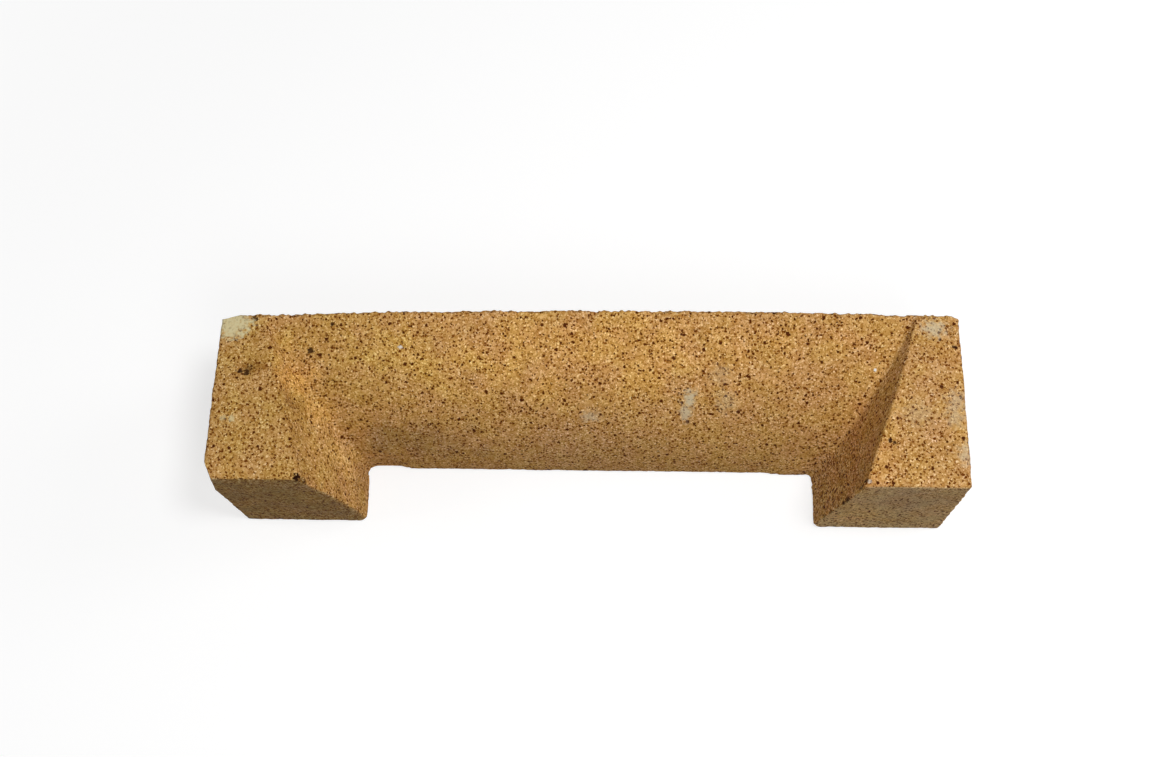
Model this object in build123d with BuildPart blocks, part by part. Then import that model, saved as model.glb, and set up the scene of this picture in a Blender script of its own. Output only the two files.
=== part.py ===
"""Fireplace throat lintel: one pressed and fired fireclay block, lying on its flat room face.

+X runs along the wall, +Y is up when the lintel is built in, from the feet to the bed that carries the
masonry, and +Z goes from the room face into the throat. The origin is the middle of the room face.
Sizes are in millimetres.
"""

import os
from math import sqrt

from build123d import *

# The block that the mould makes
LENGTH = 760.0  # along the wall
RISE = 178.0  # from the feet to the bed
DEPTH = 155.0  # from the room face to the throat side

# The two legs, which stand on the jambs of the fireplace
OPENING = 492.0  # clear width between the legs at the room face
FOOT_WIDTH = 100.0  # a leg's width at its foot, on the throat side
HEAD_WIDTH = 43.0  # a leg's width at the bed, on the throat side
LEG_DROP = 58.0  # how far the legs reach below the nose

# The nose, the rounded face that leads the smoke up into the throat
NOSE_RADIUS = 170.0
NOSE_DEPTH = 153.0  # from the room face to the rounded face, at the bed

# Rounded edges
COVE_RADIUS = 5.0  # hollow corner between the nose and a leg's cheek
ARRIS_RADIUS = 1.5  # worn outer edges

# How far the core that forms the throat runs out of the mould
CORE_OVERRUN = 30.0

feet_y = -RISE / 2
bed_y = RISE / 2
nose_front_y = feet_y + LEG_DROP
nose_crest_y = nose_front_y + NOSE_RADIUS
core_far_y = max(bed_y, nose_crest_y) + CORE_OVERRUN
core_near_y = feet_y - CORE_OVERRUN
core_low_z = -CORE_OVERRUN
core_high_z = DEPTH + CORE_OVERRUN

# The nose is a quarter circle that starts upright; where it would level out beyond the bed, the bed cuts it.
crest_beyond_bed = max(0.0, nose_crest_y - bed_y)
nose_centre_z = NOSE_DEPTH - sqrt(NOSE_RADIUS**2 - crest_beyond_bed**2)


def core_half_width(y, z):
    """Half the width between the two cheeks: even at the room face, splayed towards the bed at the throat side."""
    at_foot = LENGTH / 2 - FOOT_WIDTH
    at_bed = LENGTH / 2 - HEAD_WIDTH
    throat_side = at_foot + (at_bed - at_foot) * (y - feet_y) / RISE
    room_side = OPENING / 2
    return room_side + (throat_side - room_side) * z / DEPTH


def core_outline(z):
    """The core's four corners at one height, anticlockwise from the near left one."""
    near, far = core_half_width(core_near_y, z), core_half_width(core_far_y, z)
    return [(-near, core_near_y), (near, core_near_y), (far, core_far_y), (-far, core_far_y)]


# The core: a plug with twisted cheeks and a rounded back, which leaves the throat free in the clay
with BuildPart() as core:
    for height in (core_low_z, core_high_z):
        with BuildSketch(Plane.XY.offset(height)):
            Polygon(*core_outline(height), align=None)
    loft(ruled=True)
    with BuildSketch(Plane.YZ):
        with BuildLine():
            upright = Line((nose_front_y, core_low_z), (nose_front_y, nose_centre_z))
            nose = RadiusArc(upright @ 1, (nose_crest_y, nose_centre_z + NOSE_RADIUS), NOSE_RADIUS)
            Polyline(
                nose @ 1,
                (core_far_y, nose_centre_z + NOSE_RADIUS),
                (core_far_y, core_high_z),
                (core_near_y, core_high_z),
                (core_near_y, core_low_z),
                upright @ 0,
            )
        make_face()
    extrude(amount=LENGTH / 2, both=True, mode=Mode.INTERSECT)
    nose_face = core.faces().filter_by(GeomType.CYLINDER)
    cove_edges = nose_face.edges().filter_by(Axis.X, reverse=True)
    fillet(cove_edges, COVE_RADIUS)

# The lintel: the full block, less the core
with BuildPart() as throat_lintel:
    with BuildSketch():
        Rectangle(LENGTH, RISE)
    extrude(amount=DEPTH)
    add(core.part, mode=Mode.SUBTRACT)
    fillet(throat_lintel.edges(), ARRIS_RADIUS)

throat_lintel.part.label = "throat_lintel"
os.makedirs("parts", exist_ok=True)
export_step(throat_lintel.part, "parts/throat_lintel.step")
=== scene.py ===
from math import cos, radians, sin

import bmesh
import bpy
import numpy as np
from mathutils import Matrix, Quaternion, Vector, noise
from mathutils.bvhtree import BVHTree


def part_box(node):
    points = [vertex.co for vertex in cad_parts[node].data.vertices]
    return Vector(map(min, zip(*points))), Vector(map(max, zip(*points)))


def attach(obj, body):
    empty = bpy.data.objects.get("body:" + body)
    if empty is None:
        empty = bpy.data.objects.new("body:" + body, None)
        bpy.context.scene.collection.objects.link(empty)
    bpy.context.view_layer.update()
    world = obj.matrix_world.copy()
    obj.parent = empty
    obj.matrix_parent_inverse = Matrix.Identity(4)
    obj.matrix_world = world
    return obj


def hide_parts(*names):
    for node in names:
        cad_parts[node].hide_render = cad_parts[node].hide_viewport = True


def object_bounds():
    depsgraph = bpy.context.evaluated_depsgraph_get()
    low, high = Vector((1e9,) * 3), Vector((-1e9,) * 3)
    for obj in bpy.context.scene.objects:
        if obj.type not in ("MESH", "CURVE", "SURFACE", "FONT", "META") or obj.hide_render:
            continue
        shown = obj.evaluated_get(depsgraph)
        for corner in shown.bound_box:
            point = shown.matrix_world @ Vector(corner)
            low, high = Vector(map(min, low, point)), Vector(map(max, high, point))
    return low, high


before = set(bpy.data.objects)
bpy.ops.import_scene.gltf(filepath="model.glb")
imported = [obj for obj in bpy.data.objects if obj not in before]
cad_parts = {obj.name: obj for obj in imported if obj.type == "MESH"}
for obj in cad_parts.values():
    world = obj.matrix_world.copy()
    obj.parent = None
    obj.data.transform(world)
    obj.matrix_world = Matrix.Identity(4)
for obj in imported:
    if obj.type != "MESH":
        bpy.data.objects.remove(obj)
cad_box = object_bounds()

# The lintel
# One block of fireclay, pressed damp into a mould round a core that leaves the throat free, struck off
# at the bed and fired. Grog and iron grains in the clay make its faces sandy and speckled. It has been
# handled: arrises crumble, corners are knocked off, faces are pitted, and mortar sticks to the clay.
lintel_low, lintel_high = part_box("throat_lintel")
left_x, right_x = lintel_low.x, lintel_high.x
feet_y, bed_y = lintel_low.y, lintel_high.y
room_z, throat_z = lintel_low.z, lintel_high.z

SKIN_SPACING = 0.0028  # between the points of the clay's skin, and half as much along arrises and coves
SKIN_EASING = 2  # rounds of easing that spread the skin's points evenly
CORNER_REACH = 12  # rounds of easing that tell an arris or a cove from a flat face
CORNER_PROUD = 0.0006  # how far an arris stands out of its eased surroundings at least
ARRIS_PROUD = 0.0018  # how far a full arris stands out

# Pitch and height of the unevenness that the mould and the kiln left on the faces
UNEVENNESS = ((0.0065, 0.00016), (0.0130, 0.00022), (0.0350, 0.00035), (0.1200, 0.00060))

# Pitch and depth of the crumbling along all arrises, and along the struck bed
CRUMBLE = ((0.0036, 0.0011), (0.0085, 0.0012))
CRUMBLE_SHARE = 0.1  # at 0 half of an arris has crumbled, and more as this grows
FLOOR_SHELTER = 0.015  # the arrises of the room face crumble less, up to this height
BED_CRUMBLE = ((0.0036, 0.0019), (0.0070, 0.0014), (0.0160, 0.0010))
BED_CRUMBLE_REACH = 0.010  # how far from the bed its own crumbling is felt

# The bed bulges, most a little right of mid-length and not at all at the left end
BED_CROWN = 0.0092
CROWN_X = 0.040
CROWN_FOOT_Y = -0.010  # the bulge dies out from the bed down to here
CROWN_ROUNDNESS = 2.5  # 2 would be a parabola, and more is flatter in the middle

# The legs, and how their cheeks differ from the mould's core
OPENING_HALF = 0.246  # half the clear width between the legs at the room face
FOOT_WIDTH = 0.100  # a leg's width at its foot, on the throat side
HEAD_WIDTH = 0.043  # a leg's width at the bed, on the throat side
CHEEK_REACH = 0.030  # how far a cheek's lean is felt along the lintel
RIGHT_LEAN = 0.0018  # how far the right cheek stands into the opening
RIGHT_SPLAY = 0.0042  # how far it gives way again on the throat side, towards the bed
SPLAY_END_Y = 0.050  # where it has given way in full
LEFT_FULLNESS = 0.0050  # how far the left cheek's belly stands into the opening
BELLY_FULL_FROM = 0.30  # shares of the depth between which the belly is full
BELLY_FULL_TO = 0.60
BELLY_END = 0.85  # share of the depth where it has ended
LEFT_LEAN = 0.0022  # how far the left cheek stands into the opening at the foot

FOOT_FLARE = 0.0020  # how much further the feet reach at the room face than at the throat side
FLARE_REACH = 0.020  # how far from the feet the flare is felt
END_SWELL = 0.0014  # how far the left end swells out above its foot
END_SWELL_REACH = 0.060  # how far from the end the swelling is felt

# Hollows in the faces, and one lump: place along and across, radius, depth and darkness. The darkness is
# brown painted into pits, partly their own dark colour and partly painted shade in the hollows.
HOLLOWS = (
    (left_x + 0.0245, bed_y - 0.0618, 0.0040, 0.0028, 0.9),
    (left_x + 0.0316, bed_y - 0.0634, 0.0047, 0.0034, 0.9),
    (left_x + 0.0340, bed_y - 0.0585, 0.0044, 0.0012, 0.4),
    (left_x + 0.0914, bed_y - 0.0323, 0.0040, 0.0024, 0.9),
    (left_x + 0.1145, bed_y - 0.0064, 0.0028, 0.0015, 0.9),
    (left_x + 0.0337, bed_y - 0.0033, 0.0036, 0.0020, 0.8),
    (left_x + 0.0962, feet_y + 0.0036, 0.0044, 0.0036, 1.0),
    (left_x + 0.1010, feet_y + 0.0020, 0.0044, 0.0032, 0.6),
    (left_x + 0.0780, feet_y + 0.0940, 0.0140, 0.0030, 0.0),
    (right_x - 0.0990, feet_y + 0.0030, 0.0045, 0.0020, 0.0),
    (right_x - 0.1007, feet_y + 0.0075, 0.0026, 0.0012, 0.7),
    (right_x - 0.1042, feet_y + 0.0037, 0.0026, 0.0012, 0.7),
    (right_x - 0.1127, feet_y + 0.0013, 0.0030, 0.0014, 0.8),
    (right_x - 0.1146, feet_y + 0.0010, 0.0026, 0.0012, 0.8),
    (right_x - 0.1233, feet_y + 0.0010, 0.0024, 0.0010, 0.6),
    (right_x - 0.1277, feet_y + 0.0010, 0.0024, 0.0010, 0.6),
    (right_x - 0.0762, feet_y + 0.0475, 0.0027, 0.0018, 0.9),
    (right_x - 0.0712, feet_y + 0.0457, 0.0025, 0.0016, 0.9),
    (right_x - 0.0065, bed_y - 0.0311, 0.0028, 0.0012, 0.9),
    (left_x + 0.1560, feet_y + 0.0585, 0.0260, 0.0032, 0.0),
    (right_x - 0.1560, feet_y + 0.0585, 0.0300, -0.0024, 0.0),
    (0.0095, bed_y + 0.0070, 0.0055, 0.0036, 0.0),
)
HOLLOW_RAGGEDNESS = 0.35  # as a share of a hollow's radius
HOLLOW_GRAIN = 0.004

# Corners that are knocked off: the corner, and how far the break runs from it along, across and up
BROKEN_CORNERS = (
    ((left_x, feet_y, throat_z), (0.010, 0.019, -0.048)),
    ((-OPENING_HALF, feet_y, room_z), (-0.005, 0.004, 0.005)),
    ((OPENING_HALF, feet_y, room_z), (0.004, 0.003, 0.004)),
    ((right_x, feet_y, throat_z), (-0.005, 0.006, -0.005)),
    ((left_x, bed_y, throat_z), (0.016, -0.005, -0.010)),
)
BREAK_ROUGHNESS = 0.0008
BREAK_GRAIN = 0.006
BREAK_REACH = 2.0  # a break stays within this many times its longest run


def even_skin(node, spacing):
    """A skin of even squares over a CAD node."""
    blank = bpy.data.objects.new("blank", node.data.copy())
    bpy.context.scene.collection.objects.link(blank)
    remesh = blank.modifiers.new("even_skin", "REMESH")
    remesh.mode = "VOXEL"
    remesh.voxel_size = spacing
    skin = bpy.data.meshes.new_from_object(blank.evaluated_get(bpy.context.evaluated_depsgraph_get()))
    bpy.data.objects.remove(blank)
    return skin


def mesh_numbers(mesh):
    """A mesh's places, its normals and the two ends of its edges."""
    places = np.empty(len(mesh.vertices) * 3)
    mesh.vertices.foreach_get("co", places)
    normals = np.empty(len(mesh.vertices) * 3)
    mesh.vertex_normals.foreach_get("vector", normals)
    edges = np.empty(len(mesh.edges) * 2, np.int32)
    mesh.edges.foreach_get("vertices", edges)
    return places.reshape(-1, 3), normals.reshape(-1, 3), edges.reshape(-1, 2)


def put_places(mesh, places):
    mesh.vertices.foreach_set("co", places.ravel())
    mesh.update()


def eased(places, edges, rounds):
    """The places after each has moved to the middle of its neighbours, again and again."""
    neighbours = np.bincount(edges.ravel(), minlength=len(places))[:, None]
    for _ in range(rounds):
        total = np.zeros_like(places)
        np.add.at(total, edges[:, 0], places[edges[:, 1]])
        np.add.at(total, edges[:, 1], places[edges[:, 0]])
        places = total / neighbours
    return places


def seated(places, node):
    """The nearest places on a CAD node."""
    return np.array([node.closest_point_on_mesh(Vector(place))[1] for place in places])


def split_edges(mesh, chosen):
    """Halves the squares whose corners are chosen."""
    work = bmesh.new()
    work.from_mesh(mesh)
    split = [edge for edge in work.edges if all(chosen[end.index] for end in edge.verts)]
    bmesh.ops.subdivide_edges(work, edges=split, cuts=1, use_grid_fill=True)
    work.to_mesh(mesh)
    work.free()


def grain_noise(places, pitch, seed):
    """Smooth noise between about -1 and 1 with lumps this far apart. Each seed starts elsewhere in it."""
    start = Vector((7.1, 3.7, 5.3)) * seed
    return np.array([noise.noise(Vector(place) / pitch + start) for place in places])


def smooth_step(values, low, high):
    share = np.clip((values - low) / (high - low), 0.0, 1.0)
    return share * share * (3.0 - 2.0 * share)


def surface_below(x, y):
    """The place on the skin that lies straight below a point one metre up."""
    return np.array(skin_faces.ray_cast(Vector((x, y, 1.0)), Vector((0, 0, -1)))[0])


# An even skin that is finer along the arrises and coves, seated on the solid
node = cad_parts["throat_lintel"]
skin = even_skin(node, SKIN_SPACING)
places, _, edges = mesh_numbers(skin)
places = eased(places, edges, SKIN_EASING)
put_places(skin, places)
places, outward, edges = mesh_numbers(skin)
proud = ((places - eased(places, edges, CORNER_REACH)) * outward).sum(axis=1)
split_edges(skin, np.abs(proud) > CORNER_PROUD)
places, _, edges = mesh_numbers(skin)
places = seated(eased(places, edges, 1), node)
put_places(skin, places)
places, outward, edges = mesh_numbers(skin)
proud = ((places - eased(places, edges, CORNER_REACH)) * outward).sum(axis=1)
arris = np.clip(proud / ARRIS_PROUD, 0.0, 1.0)

# The bulging bed, the leaning cheeks, the flared feet and the swollen end
x, y, z = places.T
from_crown = np.abs(x - CROWN_X) / (CROWN_X - left_x)
crown = BED_CROWN * (1.0 - from_crown**CROWN_ROUNDNESS) * smooth_step(y, CROWN_FOOT_Y, bed_y)
throat_half = right_x - FOOT_WIDTH + (FOOT_WIDTH - HEAD_WIDTH) * (y - feet_y) / (bed_y - feet_y)
opening_half = OPENING_HALF + (throat_half - OPENING_HALF) * z / throat_z
height = z / throat_z
right_splay = RIGHT_SPLAY * smooth_step(y, feet_y, SPLAY_END_Y) * height - RIGHT_LEAN
belly = smooth_step(z, 0.0, BELLY_FULL_FROM * throat_z)
belly *= smooth_step(z, BELLY_END * throat_z, BELLY_FULL_TO * throat_z)
left_lean = LEFT_FULLNESS * belly + LEFT_LEAN * (1.0 - height) * smooth_step(y, 0.0, feet_y)
cheeks = right_splay * smooth_step(np.abs(x - opening_half), CHEEK_REACH, 0.0)
cheeks += left_lean * smooth_step(np.abs(x + opening_half), CHEEK_REACH, 0.0)
flare = FOOT_FLARE * (1.0 - height) * smooth_step(y, feet_y + FLARE_REACH, feet_y)
swell = END_SWELL * smooth_step(x, left_x + END_SWELL_REACH, left_x) * smooth_step(y, feet_y, 0.0)
put_places(skin, places + np.stack((cheeks - swell, crown - flare, np.zeros(len(places))), axis=1))
places, outward, _ = mesh_numbers(skin)
skin_faces = BVHTree.FromPolygons(places.tolist(), [face.vertices for face in skin.polygons])

# Uneven faces and crumbled arrises
relief = np.zeros(len(places))
for seed, (pitch, rise) in enumerate(UNEVENNESS, start=1):
    relief += rise * grain_noise(places, pitch, seed)
loose = arris * smooth_step(places[:, 2], -FLOOR_SHELTER, FLOOR_SHELTER)
for seed, (pitch, depth) in enumerate(CRUMBLE, start=11):
    relief -= depth * loose * np.clip(CRUMBLE_SHARE + grain_noise(places, pitch, seed), 0.0, None)
at_bed = arris * smooth_step(places[:, 1], bed_y - BED_CRUMBLE_REACH, bed_y)
for seed, (pitch, depth) in enumerate(BED_CRUMBLE, start=21):
    relief -= depth * at_bed * grain_noise(places, pitch, seed)

# Pits, dents and the lump
ragged = 1.0 + HOLLOW_RAGGEDNESS * grain_noise(places, HOLLOW_GRAIN, 31)
for along, across, radius, depth, _ in HOLLOWS:
    away = np.linalg.norm(places - surface_below(along, across), axis=1) / radius * ragged
    relief -= depth * np.clip(1.0 - away**2, 0.0, 1.0)
places = places + outward * relief[:, None]

# Each broken corner is a rough plane through the ends of its three runs
for corner, runs in BROKEN_CORNERS:
    way = -1.0 / np.array(runs)
    reach = 1.0 / np.linalg.norm(way)
    way *= reach
    rough = BREAK_ROUGHNESS * grain_noise(places, BREAK_GRAIN, 41)
    beyond = (places - np.array(corner)) @ way + reach + rough
    close = np.linalg.norm(places - np.array(corner), axis=1) < BREAK_REACH * np.abs(runs).max()
    places -= (np.clip(beyond, 0.0, None) * close)[:, None] * way

places[:, 2] = np.maximum(places[:, 2], room_z)
put_places(skin, places)
skin.shade_smooth()
lintel = bpy.data.objects.new("throat_lintel_clay", skin)
bpy.context.scene.collection.objects.link(lintel)


MILLIMETRES = 1000.0  # in a metre
SMALLNESS = 1.6  # above 1, most grains are small ones


def shader_node(tree, kind, inputs=None, **settings):
    """Adds a shader node. Its inputs go by name or number: a socket is linked, and anything else is set."""
    added = tree.nodes.new(kind)
    for name, value in settings.items():
        setattr(added, name, value)
    for name, value in (inputs or {}).items():
        if isinstance(value, bpy.types.NodeSocket):
            tree.links.new(value, added.inputs[name])
        else:
            added.inputs[name].default_value = value
    return added


def maths(tree, operation, *values):
    return shader_node(tree, "ShaderNodeMath", dict(enumerate(values)), operation=operation).outputs[0]


def vector_maths(tree, operation, *values):
    return shader_node(tree, "ShaderNodeVectorMath", dict(enumerate(values)), operation=operation)


def ramp(tree, value, start, end, low=0.0, high=1.0):
    """A smooth run from low to high as the value goes from start to end."""
    inputs = {0: value, 1: start, 2: end, 3: low, 4: high}
    return shader_node(tree, "ShaderNodeMapRange", inputs, interpolation_type="SMOOTHSTEP").outputs[0]


def line(tree, value, low, high):
    """A straight run from low to high as the value goes from 0 to 1."""
    return shader_node(tree, "ShaderNodeMapRange", {0: value, 3: low, 4: high}).outputs[0]


def blend(tree, share, under, over):
    """Between two values."""
    return shader_node(tree, "ShaderNodeMix", {0: share, 2: under, 3: over}).outputs[0]


def colour_mix(tree, share, under, over, how="MIX"):
    inputs = {0: share, 6: under, 7: over}
    mixed = shader_node(tree, "ShaderNodeMix", inputs, data_type="RGBA", blend_type=how)
    return mixed.outputs[2]


def soft_noise(tree, where, pitch, detail=2.0):
    """Noise from 0 to 1 with lumps this many millimetres apart."""
    inputs = {"Vector": where, "Scale": 1.0 / pitch, "Detail": detail}
    return shader_node(tree, "ShaderNodeTexNoise", inputs).outputs[0]


def grains(tree, where, pitch):
    """Cells this many millimetres apart: distance from a cell's middle, and three random values."""
    cells = shader_node(tree, "ShaderNodeTexVoronoi", {"Vector": where, "Scale": 1.0 / pitch})
    away = maths(tree, "MULTIPLY", cells.outputs["Distance"], pitch)
    chance = shader_node(tree, "ShaderNodeSeparateColor", {0: cells.outputs["Color"]}).outputs
    return away, chance


def specks(tree, where, pitch, share, smallest, largest, edge):
    """A mask of grains: this share of the cells holds one, with a radius in this range."""
    away, chance = grains(tree, where, pitch)
    radius = line(tree, maths(tree, "POWER", chance[1], SMALLNESS), smallest, largest)
    inside = maths(tree, "SUBTRACT", radius, away)
    there = maths(tree, "LESS_THAN", chance[0], share)
    return maths(tree, "MULTIPLY", ramp(tree, inside, start=-edge, end=edge), there), chance[2]


def spot(tree, where, place, radius, ragged, softness):
    """A mask of one ragged spot with its own radius in each direction."""
    offset = vector_maths(tree, "SUBTRACT", where, tuple(MILLIMETRES * part for part in place)).outputs[0]
    shrunk = vector_maths(tree, "DIVIDE", offset, tuple(MILLIMETRES * part for part in radius)).outputs[0]
    away = vector_maths(tree, "LENGTH", shrunk).outputs["Value"]
    return ramp(tree, maths(tree, "ADD", away, ragged), start=1.0, end=1.0 - softness)


def spots(tree, where, places, ragged, softness, deep=1.0):
    """A mask of ragged spots on the skin: place along and across, radius along and across, strength."""
    mask = 0.0
    for along, across, wide, tall, strength in places:
        radius = (wide, tall, deep * max(wide, tall))
        one = spot(tree, where, surface_below(along, across), radius, ragged, softness)
        mask = maths(tree, "MAXIMUM", mask, maths(tree, "MULTIPLY", one, strength))
    return mask


# Tones of the clay as linear light, from fused iron through burnt and buff clay to pale grog
CLAY_TONES = (
    (0.00, (0.060, 0.012, 0.001, 1.0)),
    (0.15, (0.165, 0.042, 0.003, 1.0)),
    (0.35, (0.335, 0.139, 0.023, 1.0)),
    (0.55, (0.500, 0.257, 0.073, 1.0)),
    (0.75, (0.640, 0.364, 0.130, 1.0)),
    (1.00, (0.940, 0.680, 0.360, 1.0)),
)
BUFF_TONE = 0.66  # tones on either side of it spread where the clay is burnt hard
BURNT_CHEEK = (0.262, -0.055, 0.070)  # the right cheek, where iron and grog stand out more
BURNT_REACH = (0.045, 0.055, 0.110)
BURNT_CONTRAST = 0.50
FOOT_CONTRAST = 0.28
YELLOW_TINT = (1.000, 1.025, 0.900, 1.0)
PINK_TINT = (1.000, 0.985, 1.060, 1.0)
# Painted shade: a dark brown laid in patches over the left foot
LEFT_FOOT_SHADE = (0.150, 0.118, 0.068, 1.0)
RIGHT_FOOT_DUST = (0.530, 0.422, 0.240, 1.0)
# Brown for the pits: partly their own dark colour, partly painted shade in the hollows
PIT_SHADE_BROWN = (0.030, 0.009, 0.003, 1.0)
# Painted contact shadow where the clay meets the floor
CONTACT_SHADOW_GREY = (0.420, 0.380, 0.360, 1.0)
MORTAR_PALE = (0.670, 0.580, 0.330, 1.0)
CHALK_GREY = (0.610, 0.530, 0.360, 1.0)
LIME_WHITE = (0.900, 0.880, 0.820, 1.0)

# Wide soft places, each a tint multiplied into the clay: place, radius and tint. Some are painted light and
# painted shade: a lighter upper nose and left cheek, and a darker left top, lower left nose and patch at
# the head of the left cheek. The others are where the clay is cleaner, sootier, dustier or burnt redder.
TINTS_AND_PAINTED_LIGHT = (
    # painted light: the upper nose lighter
    ((-0.020, 0.055, 0.140), (0.330, 0.070, 0.080), (1.16, 1.15, 1.10, 1.0)),
    # painted shade: the left leg's top darker, and a little yellower
    ((-0.330, 0.000, 0.130), (0.190, 0.160, 0.160), (0.95, 0.99, 0.92, 1.0)),
    ((-0.190, 0.050, 0.135), (0.120, 0.055, 0.060), (1.03, 1.09, 0.99, 1.0)),
    # painted shade: the lower nose beside the left cheek darker, and greyer
    ((-0.190, -0.020, 0.060), (0.120, 0.040, 0.045), (0.80, 0.82, 0.92, 1.0)),
    ((0.000, -0.020, 0.050), (0.130, 0.060, 0.070), (0.96, 0.97, 1.12, 1.0)),
    # painted light: the left cheek lighter, most by the valley and at its head (this and the next three)
    ((-0.268, -0.028, 0.070), (0.034, 0.055, 0.080), (1.15, 1.18, 1.25, 1.0)),
    ((-0.268, -0.040, 0.048), (0.022, 0.034, 0.050), (1.22, 1.20, 1.14, 1.0)),
    ((-0.280, 0.004, 0.104), (0.018, 0.026, 0.036), (1.20, 1.19, 1.14, 1.0)),
    ((-0.306, 0.033, 0.135), (0.037, 0.032, 0.045), (1.29, 1.26, 1.12, 1.0)),
    # painted shade: a darker patch at the head of the left cheek
    ((-0.299, 0.000, 0.140), (0.014, 0.024, 0.030), (0.84, 0.79, 0.72, 1.0)),
    ((0.285, -0.050, 0.080), (0.050, 0.075, 0.110), (1.07, 0.98, 0.96, 1.0)),
    ((0.345, -0.010, 0.155), (0.055, 0.130, 0.030), (0.96, 0.98, 1.08, 1.0)),
    ((left_x + 0.0420, bed_y - 0.0580, throat_z), (0.026, 0.015, 0.030), (0.68, 0.58, 0.46, 1.0)),
    ((right_x - 0.0450, feet_y, 0.110), (0.060, 0.010, 0.060), (0.78, 0.72, 0.74, 1.0)),
    ((right_x - 0.1000, feet_y, 0.040), (0.060, 0.010, 0.060), (1.16, 1.20, 1.12, 1.0)),
)

# Mortar, chalk and lime left on the clay: place along and across, radius along and across, strength
MORTAR_PLACES = (
    (left_x + 0.0110, bed_y - 0.0100, 0.0250, 0.0220, 1.00),
    (left_x + 0.0235, -0.0257, 0.0046, 0.0046, 0.70),
    (left_x + 0.0138, -0.0247, 0.0046, 0.0036, 0.50),
)
CHALK_PLACES = (
    (right_x - 0.0257, bed_y - 0.0113, 0.0180, 0.0150, 0.68),
    (right_x - 0.0093, -0.0013, 0.0150, 0.0200, 0.38),
    (right_x - 0.0110, -0.0164, 0.0140, 0.0160, 0.36),
    (right_x - 0.0041, -0.0542, 0.0110, 0.0170, 0.50),
    (right_x - 0.0470, -0.0134, 0.0240, 0.0180, 0.20),
    (0.1085, 0.0180, 0.0110, 0.0170, 0.80),
    (0.1045, 0.0060, 0.0090, 0.0150, 0.70),
    (0.0050, 0.0023, 0.0150, 0.0070, 0.45),
    (0.1465, 0.0153, 0.0150, 0.0200, 0.24),
    (0.1406, 0.0382, 0.0150, 0.0150, 0.22),
)
LIME_PLACES = (
    (right_x - 0.0823, bed_y - 0.0459, 0.0022, 0.0022, 1.0),
    (left_x + 0.1868, bed_y - 0.0281, 0.0032, 0.0026, 0.7),
    (right_x - 0.0980, feet_y + 0.0052, 0.0024, 0.0030, 0.42),
)
PIT_PLACES = [
    (along, across, radius, radius, darkness)
    for along, across, radius, _, darkness in HOLLOWS
    if darkness > 0.0
]
PIT_DEPTH = 2.5  # how much deeper than wide a pit's darkness reaches

# Grains in the clay, in millimetres: pitch, share of the cells that hold one, radius and soft edge
SAND_PITCH = 1.6
GROG = dict(pitch=2.6, share=0.62, smallest=0.55, largest=1.05, edge=0.40)
FINE_IRON = dict(pitch=3.0, share=0.72, smallest=0.74, largest=1.45, edge=0.22)
COARSE_IRON = dict(pitch=7.6, share=0.42, smallest=1.15, largest=2.05, edge=0.25)
GROG_COVER = 0.90
COARSE_IRON_TONE = 0.02
GRAIN_BEND = 3.6  # how far noise bends the grains out of round
GRAIN_BEND_SCALE = 0.6  # lumps of that noise in a millimetre

# Heights of the fine relief in millimetres
SAND_DOME = 0.30
DUST_HEIGHT = 0.20
IRON_SINK = 0.35
SMOOTHED = 0.25  # share of it that dust and mortar leave
RELIEF_STRENGTH = 0.8
CLAY_GLOSS = 0.06


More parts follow.
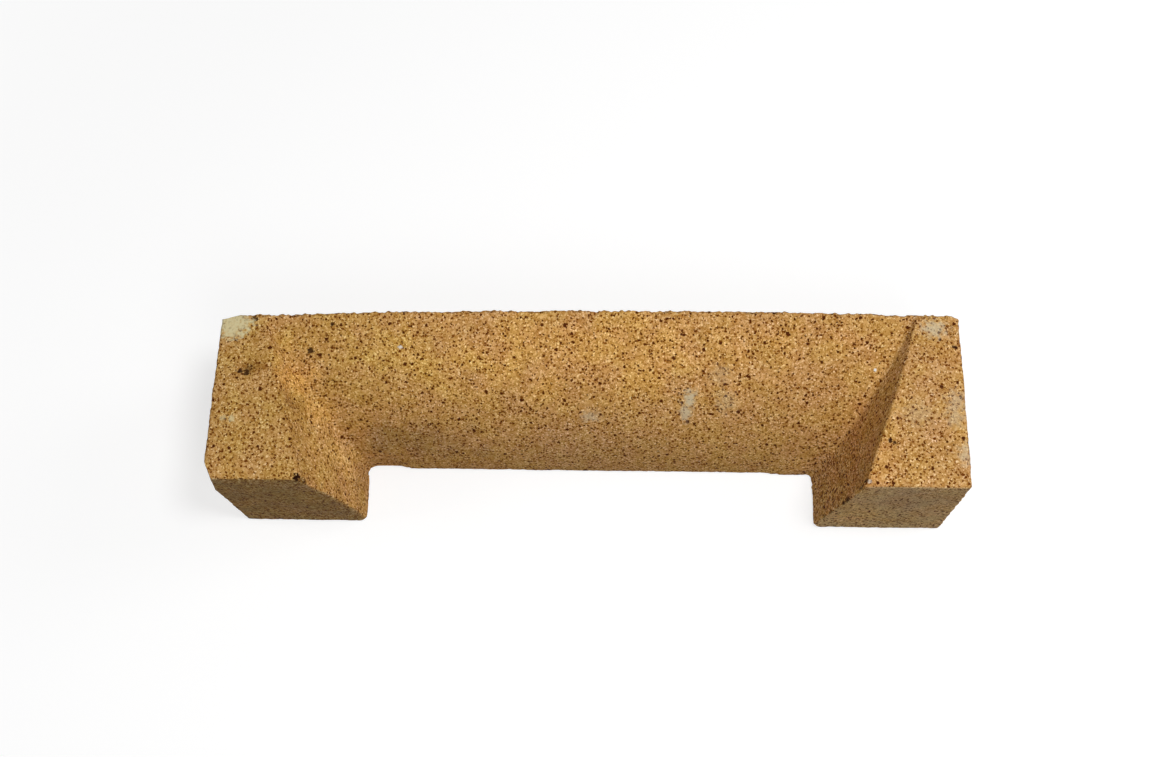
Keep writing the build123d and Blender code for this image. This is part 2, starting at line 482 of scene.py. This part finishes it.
def fireclay():
    """Buff fireclay: mottled ochre, sandy with grog, speckled with iron."""
    material = bpy.data.materials.new("fireclay")
    material.use_nodes = True
    tree = material.node_tree
    shader = tree.nodes["Principled BSDF"]
    place = shader_node(tree, "ShaderNodeTexCoord").outputs["Object"]
    where = vector_maths(tree, "MULTIPLY", place, (MILLIMETRES,) * 3).outputs[0]
    bending = {"Vector": where, "Scale": GRAIN_BEND_SCALE, "Detail": 2.0}
    bend = shader_node(tree, "ShaderNodeTexNoise", bending).outputs["Color"]
    bend = vector_maths(tree, "SUBTRACT", bend, (0.5, 0.5, 0.5)).outputs[0]
    bend = vector_maths(tree, "MULTIPLY", bend, (GRAIN_BEND,) * 3).outputs[0]
    bent = vector_maths(tree, "ADD", where, bend).outputs[0]
    along, across, up = shader_node(tree, "ShaderNodeSeparateXYZ", {0: where}).outputs

    # Tone from grain to grain: sand, clouds, pale grog, iron fine and coarse
    sand_away, sand_chance = grains(tree, bent, SAND_PITCH)
    cloud = line(tree, soft_noise(tree, where, pitch=7.0), low=-0.06, high=0.06)
    tone = maths(tree, "ADD", line(tree, sand_chance[0], low=0.365, high=0.825), cloud)
    grog, _ = specks(tree, bent, **GROG)
    tone = blend(tree, maths(tree, "MULTIPLY", grog, GROG_COVER), tone, 1.0)
    fine_iron, fine_chance = specks(tree, bent, **FINE_IRON)
    tone = blend(tree, fine_iron, tone, line(tree, fine_chance, low=0.0, high=0.20))
    coarse_iron, _ = specks(tree, bent, **COARSE_IRON)
    tone = blend(tree, coarse_iron, tone, COARSE_IRON_TONE)
    iron = maths(tree, "MAXIMUM", fine_iron, coarse_iron)
    foot_face = MILLIMETRES * feet_y
    on_foot = ramp(tree, across, start=foot_face + 1.0, end=foot_face + 0.3)
    foot_grain = line(tree, soft_noise(tree, where, pitch=5.0, detail=4.0), low=-0.30, high=0.30)
    tone = maths(tree, "ADD", tone, maths(tree, "MULTIPLY", foot_grain, on_foot))
    on_cheek = spot(tree, where, BURNT_CHEEK, BURNT_REACH, ragged=0.0, softness=0.6)
    harder = maths(tree, "MULTIPLY", on_cheek, BURNT_CONTRAST)
    harder = maths(tree, "MAXIMUM", harder, maths(tree, "MULTIPLY", on_foot, FOOT_CONTRAST))
    past_buff = maths(tree, "SUBTRACT", tone, BUFF_TONE)
    tone = maths(tree, "ADD", tone, maths(tree, "MULTIPLY", past_buff, harder))
    tones = shader_node(tree, "ShaderNodeValToRGB", {0: tone})
    steps = tones.color_ramp.elements  # a new ramp has two
    for step, (position, colour) in enumerate(CLAY_TONES):
        element = steps[step] if step < 2 else steps.new(position)
        element.position = position
        element.color = colour
    colour = tones.outputs[0]

    # Mottled from yellow to pink, and given tints over wider places, some of which are painted light and
    # painted shade
    mottle = ramp(tree, soft_noise(tree, where, pitch=26.0, detail=3.0), start=0.34, end=0.66)
    colour = colour_mix(tree, 1.0, colour, colour_mix(tree, mottle, YELLOW_TINT, PINK_TINT), "MULTIPLY")
    drift = soft_noise(tree, where, pitch=28.0, detail=4.0)
    drift = ramp(tree, drift, start=0.2, end=0.8, low=-0.4, high=0.4)
    for middle, radius, tint in TINTS_AND_PAINTED_LIGHT:
        tint_and_light = spot(tree, where, middle, radius, drift, softness=0.9)
        colour = colour_mix(tree, tint_and_light, colour, tint, "MULTIPLY")

    # Pale dust on the right foot and painted shade on the left foot, both leaving the iron bare
    bare = maths(tree, "SUBTRACT", 1.0, iron)
    dust_and_shade_patches = soft_noise(tree, where, pitch=24.0, detail=4.0)
    dust_and_shade_patches = ramp(tree, dust_and_shade_patches, start=0.30, end=0.70, low=0.26, high=0.52)
    dust_and_shade_cover = maths(tree, "MULTIPLY", maths(tree, "MULTIPLY", on_foot, dust_and_shade_patches), bare)
    foot_side = maths(tree, "GREATER_THAN", along, 0.0)
    foot_dust_and_shade = colour_mix(tree, foot_side, LEFT_FOOT_SHADE, RIGHT_FOOT_DUST)
    colour = colour_mix(tree, dust_and_shade_cover, colour, foot_dust_and_shade)

    # Painted contact shadow along the arrises that lie on the floor
    shadow_wobble = line(tree, soft_noise(tree, where, pitch=6.0, detail=3.0), low=-2.5, high=2.5)
    contact_shadow = ramp(tree, maths(tree, "ADD", up, shadow_wobble), start=3.5, end=0.0)
    colour = colour_mix(tree, contact_shadow, colour, CONTACT_SHADOW_GREY, "MULTIPLY")

    # Pits, whose brown is partly painted shade in the hollows, then chalk, mortar and lime
    ragged = soft_noise(tree, where, pitch=5.0, detail=5.0)
    ragged = ramp(tree, ragged, start=0.2, end=0.8, low=-0.45, high=0.45)
    crumbly = soft_noise(tree, where, pitch=2.8, detail=3.0)
    crumbly = ramp(tree, crumbly, start=0.25, end=0.75, low=-0.35, high=0.35)
    pit_shade = spots(tree, where, PIT_PLACES, crumbly, softness=0.40, deep=PIT_DEPTH)
    colour = colour_mix(tree, pit_shade, colour, PIT_SHADE_BROWN)
    chalk = spots(tree, where, CHALK_PLACES, ragged, softness=0.95)
    chalk = maths(tree, "MULTIPLY", chalk, line(tree, iron, low=1.0, high=0.55))
    colour = colour_mix(tree, chalk, colour, CHALK_GREY)
    mortar = spots(tree, where, MORTAR_PLACES, ragged, softness=0.6)
    worn = ramp(tree, crumbly, start=-0.28, end=0.14, low=0.78, high=1.0)
    mortar = maths(tree, "MULTIPLY", mortar, worn)
    mortar = maths(tree, "MULTIPLY", mortar, line(tree, iron, low=1.0, high=0.82))
    colour = colour_mix(tree, mortar, colour, MORTAR_PALE)
    lime = spots(tree, where, LIME_PLACES, crumbly, softness=0.6)
    colour = colour_mix(tree, lime, colour, LIME_WHITE)
    tree.links.new(colour, shader.inputs["Base Color"])

    # Rough all over, with the iron a little fused
    tree.links.new(line(tree, iron, low=0.95, high=0.70), shader.inputs["Roughness"])
    shader.inputs["Specular IOR Level"].default_value = CLAY_GLOSS

    # Fine relief in millimetres: domed sand, sunken iron, smoother feet and mortar
    dome = maths(tree, "MULTIPLY", ramp(tree, sand_away, start=1.2, end=0.0), SAND_DOME)
    dust = maths(tree, "MULTIPLY", soft_noise(tree, where, pitch=0.9), DUST_HEIGHT)
    relief = maths(tree, "ADD", dome, dust)
    relief = maths(tree, "SUBTRACT", relief, maths(tree, "MULTIPLY", iron, IRON_SINK))
    smooth = maths(tree, "MAXIMUM", dust_and_shade_cover, mortar)
    relief = maths(tree, "MULTIPLY", relief, line(tree, smooth, low=1.0, high=SMOOTHED))
    bumps = {"Height": relief, "Distance": 1.0 / MILLIMETRES, "Strength": RELIEF_STRENGTH}
    bump = shader_node(tree, "ShaderNodeBump", bumps)
    tree.links.new(bump.outputs[0], shader.inputs["Normal"])
    return material


skin.materials.clear()
skin.materials.append(fireclay())
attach(lintel, "root")
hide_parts("throat_lintel")

# The floor
# A plain matt white sheet under the lintel. It takes the shadow, and shows white to the camera.
FLOOR_SIDE = 14.0
FLOOR_GREY = (0.40, 0.40, 0.40, 1.0)  # what the sheet sends back to the lintel
FLOOR_GLOW = 0.66  # brings the lit sheet up to white for the camera alone
FADE_START = 0.6  # from here out the sheet fades into the white surroundings
FADE_END = 1.6


def floor_sheet():
    """A matt sheet that keeps the shadow near the lintel and fades into the white surroundings."""
    material = bpy.data.materials.new("floor_sheet")
    material.use_nodes = True
    tree = material.node_tree
    tree.nodes.clear()
    path = shader_node(tree, "ShaderNodeLightPath").outputs
    seen = maths(tree, "MAXIMUM", path["Is Camera Ray"], path["Is Glossy Ray"])
    seen = maths(tree, "MAXIMUM", seen, path["Is Transmission Ray"])
    matt = shader_node(tree, "ShaderNodeBsdfDiffuse", {"Color": FLOOR_GREY}).outputs[0]
    lift = maths(tree, "MULTIPLY", seen, FLOOR_GLOW)
    glow = shader_node(tree, "ShaderNodeEmission", {"Strength": lift}).outputs[0]
    near = shader_node(tree, "ShaderNodeAddShader", {0: matt, 1: glow}).outputs[0]
    far = shader_node(tree, "ShaderNodeEmission", {"Strength": seen}).outputs[0]
    place = shader_node(tree, "ShaderNodeTexCoord").outputs["Object"]
    away = vector_maths(tree, "LENGTH", place).outputs["Value"]
    fade = ramp(tree, away, FADE_START, FADE_END)
    both = shader_node(tree, "ShaderNodeMixShader", {0: fade, 1: near, 2: far}).outputs[0]
    shader_node(tree, "ShaderNodeOutputMaterial", {"Surface": both})
    return material


side = FLOOR_SIDE / 2.0
sheet = bpy.data.meshes.new("floor_sheet")
corners = [(-side, -side, 0), (side, -side, 0), (side, side, 0), (-side, side, 0)]
sheet.from_pydata(corners, [], [(0, 1, 2, 3)])
sheet.materials.append(floor_sheet())
floor = bpy.data.objects.new("floor_sheet", sheet)
floor.location.z = cad_box[0][2]
bpy.context.scene.collection.objects.link(floor)

# The light
# A soft key from the right and high up, a near fill in front, a low lamp on each side and a faint even sky.
SKY_LIGHT = 0.12
LAMPS = (  # name, azimuth, elevation, distance, width and watts
    ("key", -10.0, 68.0, 2.8, 0.7, 38.5),
    ("front_fill", -68.0, 50.0, 1.7, 0.8, 7.5),
    ("right_reflector", 20.0, 30.0, 2.8, 1.4, 18.0),
    ("left_reflector", 180.0, 30.0, 2.8, 1.4, 13.0),
)

middle = Vector((0, 0, throat_z / 2.0))
for lamp_name, azimuth, elevation, distance, width, watts in LAMPS:
    turn, lift = radians(azimuth), radians(elevation)
    way = Vector((cos(turn) * cos(lift), sin(turn) * cos(lift), sin(lift)))
    softbox = bpy.data.lights.new(lamp_name, "AREA")
    softbox.shape = "DISK"
    softbox.size = width
    softbox.energy = watts
    lamp = bpy.data.objects.new(lamp_name, softbox)
    lamp.location = middle + way * distance
    lamp.rotation_euler = way.to_track_quat("Z", "Y").to_euler()
    bpy.context.scene.collection.objects.link(lamp)

world = bpy.data.worlds.new("even_sky")
bpy.context.scene.world = world
world.use_nodes = True
sky = world.node_tree
path = shader_node(sky, "ShaderNodeLightPath").outputs
seen = maths(sky, "MAXIMUM", path["Is Camera Ray"], path["Is Glossy Ray"])
seen = maths(sky, "MAXIMUM", seen, path["Is Transmission Ray"])
sky.links.new(line(sky, seen, SKY_LIGHT, 1.0), sky.nodes["Background"].inputs["Strength"])
sky.nodes["Background"].inputs["Color"].default_value = (1.0, 1.0, 1.0, 1.0)

# The camera
# It stands before the feet and looks steeply down on the throat side, a little turned and tilted.
CAMERA_PLACE = Vector((0.0769, -0.4306, 1.3516))
CAMERA_AIM = Vector((-0.0084, 0.0796, 0.0))
CAMERA_TILT = radians(8.45)
LENS = 38.95  # millimetres, as is the width of its frame
LENS_FRAME = 36.0

lens = bpy.data.cameras.new("camera")
lens.lens = LENS
lens.sensor_width = LENS_FRAME
lens.sensor_fit = "HORIZONTAL"
camera = bpy.data.objects.new("camera", lens)
camera.location = CAMERA_PLACE
level = (CAMERA_AIM - CAMERA_PLACE).to_track_quat("-Z", "Y")
camera.rotation_euler = (level @ Quaternion((0, 0, 1), -CAMERA_TILT)).to_euler()
bpy.context.scene.collection.objects.link(camera)
bpy.context.scene.camera = camera
bpy.context.scene.view_settings.view_transform = "Standard"
